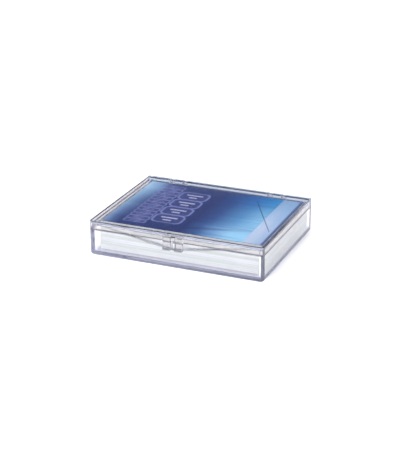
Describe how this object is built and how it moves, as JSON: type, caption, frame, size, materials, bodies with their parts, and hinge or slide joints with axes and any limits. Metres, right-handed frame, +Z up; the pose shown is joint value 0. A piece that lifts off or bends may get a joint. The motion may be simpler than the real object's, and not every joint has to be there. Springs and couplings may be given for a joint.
{
  "type": "hinged trading card box",
  "caption": "Clear hinged plastic box with a latch tab and thumb recess, closed on a full stack of trading cards.",
  "frame": {"origin": "centre of the closed box's footprint, on its flat underside", "axes": "+X along the long side, +Y from the latch towards the hinges, +Z up through the lid"},
  "size_m": [0.096, 0.0775, 0.019],
  "materials": {
    "clear_tray": "clear rigid polystyrene, polished, faintly violet at its edges",
    "clear_lid": "clear rigid polystyrene, polished, faintly violet at its edges",
    "card_stock": "white coated card, fine layered edges",
    "printed_card": "coated card with a dark blue print, semi-gloss"
  },
  "bodies": {
    "tray": {"tray": "clear_tray", "card_01": "card_stock", "card_02": "card_stock", "card_03": "card_stock", "card_04": "card_stock", "card_05": "card_stock", "card_06": "card_stock", "card_07": "card_stock", "card_08": "card_stock", "card_09": "card_stock", "card_10": "card_stock", "card_11": "card_stock", "card_12": "card_stock", "card_13": "card_stock", "card_14": "card_stock", "card_15": "card_stock", "card_16": "card_stock", "card_17": "card_stock", "card_18": "card_stock", "card_19": "card_stock", "card_20": "card_stock", "card_21": "card_stock", "card_22": "card_stock", "card_23": "card_stock", "card_24": "card_stock", "card_25": "card_stock", "card_26": "card_stock", "card_27": "card_stock", "card_28": "card_stock", "card_29": "card_stock", "card_30": "card_stock", "card_31": "card_stock", "card_32": "card_stock", "card_33": "card_stock", "card_34": "card_stock", "card_35": "card_stock", "card_36": "card_stock", "card_37": "card_stock", "card_38": "card_stock", "card_39": "card_stock", "card_40": "card_stock", "card_41": "card_stock", "card_42": "card_stock", "card_43": "card_stock", "card_44": "card_stock", "card_45": "card_stock", "card_46": "card_stock", "card_47": "card_stock", "card_48": "card_stock", "card_49": "card_stock", "card_50": "printed_card"},
    "lid": {"lid": "clear_lid"}
  },
  "joints": [
    {"name": "lid_hinge", "type": "hinge", "parent": "tray", "child": "lid", "pos_m": [0, 0.03531, 0.01681], "axis": [-1, 0, 0], "range_deg": [0, 175]}
  ]
}
